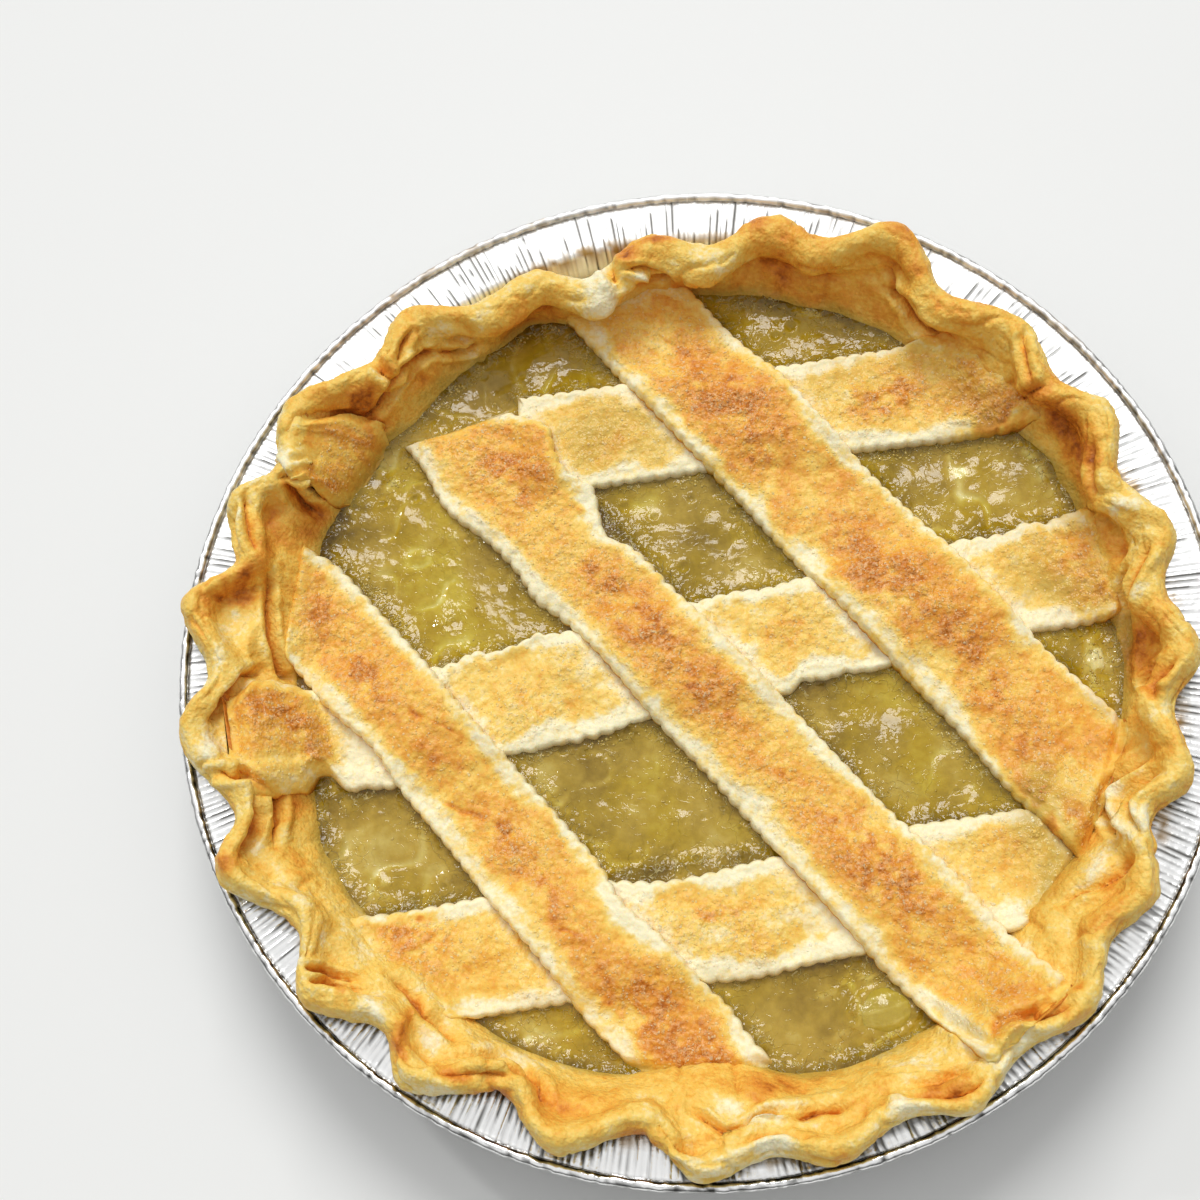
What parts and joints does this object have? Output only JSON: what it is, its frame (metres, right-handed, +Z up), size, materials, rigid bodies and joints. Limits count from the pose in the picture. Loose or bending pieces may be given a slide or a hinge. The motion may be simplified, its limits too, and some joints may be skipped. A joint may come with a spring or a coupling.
{
  "type": "gooseberry pie",
  "caption": "Round pie in its foil pan: fluted pastry rim, green-gold gooseberry filling, and a lattice of wheel-cut pastry strips with coarse sugar.",
  "frame": {"origin": "centre of the foil pan's underside", "axes": "+Z up through the pie; +Y away from the edge where the middle upper strip ends; seen from above, the upper strips run from the far left (-X, +Y) to the near right (+X, -Y)"},
  "size_m": [0.244, 0.244, 0.043],
  "materials": {
    "foil": "satin",
    "crust": "satin",
    "filling": "gloss",
    "under_strips": "satin",
    "over_strips": "satin",
    "sugar": "gloss"
  },
  "bodies": {
    "root": {"foil_pan": "foil", "pastry_case": "crust", "filling": "filling", "under_strip_upper": "under_strips", "under_strip_middle": "under_strips", "under_strip_lower": "under_strips", "over_strip_left": "over_strips", "over_strip_middle": "over_strips", "over_strip_right": "over_strips"}
  },
  "joints": []
}
